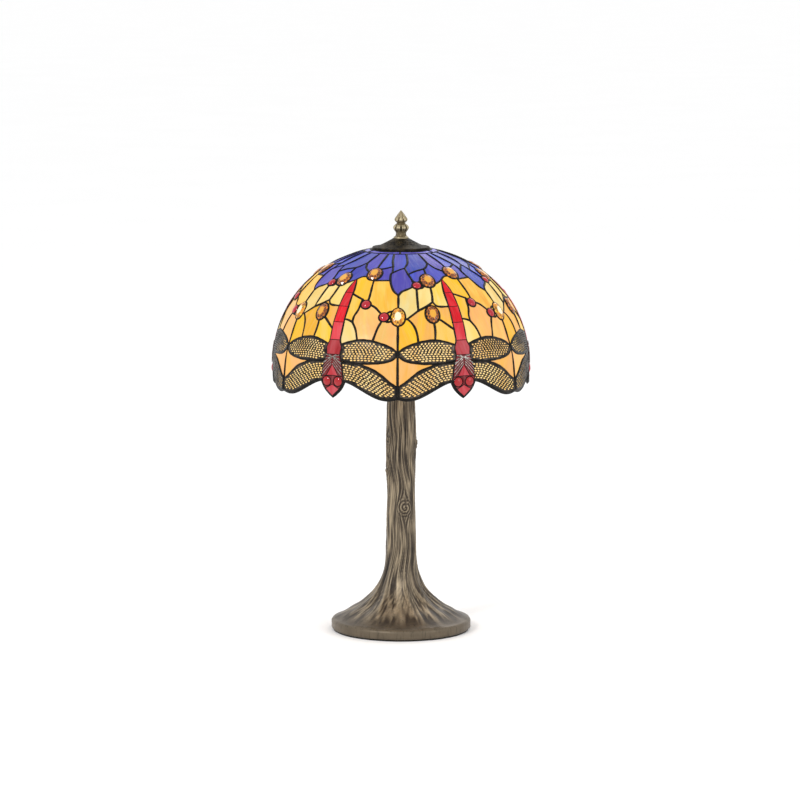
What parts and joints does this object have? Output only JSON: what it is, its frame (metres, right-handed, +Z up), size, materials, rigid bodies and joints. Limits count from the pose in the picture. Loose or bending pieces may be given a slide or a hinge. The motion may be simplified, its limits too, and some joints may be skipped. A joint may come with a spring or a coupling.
{
  "type": "stained glass table lamp",
  "caption": "Table lamp with a domed leaded-glass dragonfly shade on a harp, over a cast tree-trunk stand with a round foot.",
  "frame": {"origin": "centre of the felt pad's underside", "axes": "+Z up along the rod, -Y towards the front, where one rib of the shade faces, and +Y towards the cable bush"},
  "size_m": [0.3058, 0.3112, 0.495],
  "materials": {
    "cast_bronze": "bronze patina over a cast trunk, rubbed lighter on its high points",
    "dark_bronze": "dark bronze patina, satin",
    "antique_brass": "antique brass, rubbed",
    "brass": "plain brass",
    "steel": "zinc plated",
    "bulb_cap": "plain",
    "felt": "black felt",
    "black_plastic": "matt black",
    "porcelain": "white glaze",
    "solder": "solder with a black-bronze patina",
    "filigree": "etched brass with a dark patina",
    "blue_glass": "streaky cobalt and periwinkle art glass",
    "amber_glass": "streaky amber, peach and cream art glass",
    "red_glass": "ruby art glass",
    "opal_glass": "opal white",
    "clear_glass": "clear"
  },
  "bodies": {
    "stand": {"trunk_casting": "cast_bronze", "bottom_cover": "steel", "felt_pad": "felt", "cable_bush": "black_plastic", "lamp_rod": "steel", "rod_washer": "steel", "rod_nut": "steel", "trunk_collar": "dark_bronze", "harp_saddle": "antique_brass", "harp": "antique_brass", "finial_stud": "brass", "seat_washer": "brass", "lampholder_cap": "antique_brass", "lampholder_body": "antique_brass", "lampholder_insulator": "porcelain", "screw_shell": "brass", "centre_contact": "brass"},
    "shade": {"crown_ring": "dark_bronze", "vent_cap": "dark_bronze", "rim_wire": "solder", "crown_glass_1": "blue_glass", "crown_glass_2": "blue_glass", "crown_glass_3": "blue_glass", "crown_glass_4": "blue_glass", "crown_glass_5": "blue_glass", "crown_glass_6": "blue_glass", "field_glass_1": "amber_glass", "field_glass_2": "amber_glass", "field_glass_3": "amber_glass", "field_glass_4": "amber_glass", "field_glass_5": "amber_glass", "field_glass_6": "amber_glass", "wings_left_1": "filigree", "wings_left_2": "filigree", "wings_left_3": "filigree", "wings_left_4": "filigree", "wings_left_5": "filigree", "wings_left_6": "filigree", "wings_right_1": "filigree", "wings_right_2": "filigree", "wings_right_3": "filigree", "wings_right_4": "filigree", "wings_right_5": "filigree", "wings_right_6": "filigree", "dragonfly_1": "red_glass", "dragonfly_2": "red_glass", "dragonfly_3": "red_glass", "dragonfly_4": "red_glass", "dragonfly_5": "red_glass", "dragonfly_6": "red_glass"},
    "bulb_tip": {"bulb_contact": "bulb_cap"},
    "bulb": {"bulb_insulator": "black_plastic", "bulb_screw_cap": "bulb_cap", "bulb_glass": "opal_glass", "bulb_stem": "clear_glass"},
    "finial_core": {"finial_insert": "brass"},
    "finial": {"finial": "antique_brass"}
  },
  "joints": [
    {"name": "shade_turn", "type": "hinge", "parent": "stand", "child": "shade", "pos_m": [0, 0, 0.447], "axis": [0, 0, 1], "continuous": true},
    {"name": "bulb_rise", "type": "slide", "parent": "stand", "child": "bulb_tip", "axis": [0, 0, 1], "range_m": [0, 0.02]},
    {"name": "bulb_turn", "type": "hinge", "parent": "bulb_tip", "child": "bulb", "pos_m": [0, 0, 0.32], "axis": [0, 0, 1], "range_deg": [0, 1984]},
    {"name": "finial_rise", "type": "slide", "parent": "stand", "child": "finial_core", "axis": [0, 0, 1], "range_m": [0, 0.012]},
    {"name": "finial_turn", "type": "hinge", "parent": "finial_core", "child": "finial", "pos_m": [0, 0, 0.47], "axis": [0, 0, 1], "range_deg": [0, 4320]}
  ],
  "couplings": [
    {"joint": "bulb_turn", "follows": "bulb_rise", "rad_per_m": 1731.3},
    {"joint": "finial_turn", "follows": "finial_rise", "rad_per_m": 6283}
  ]
}
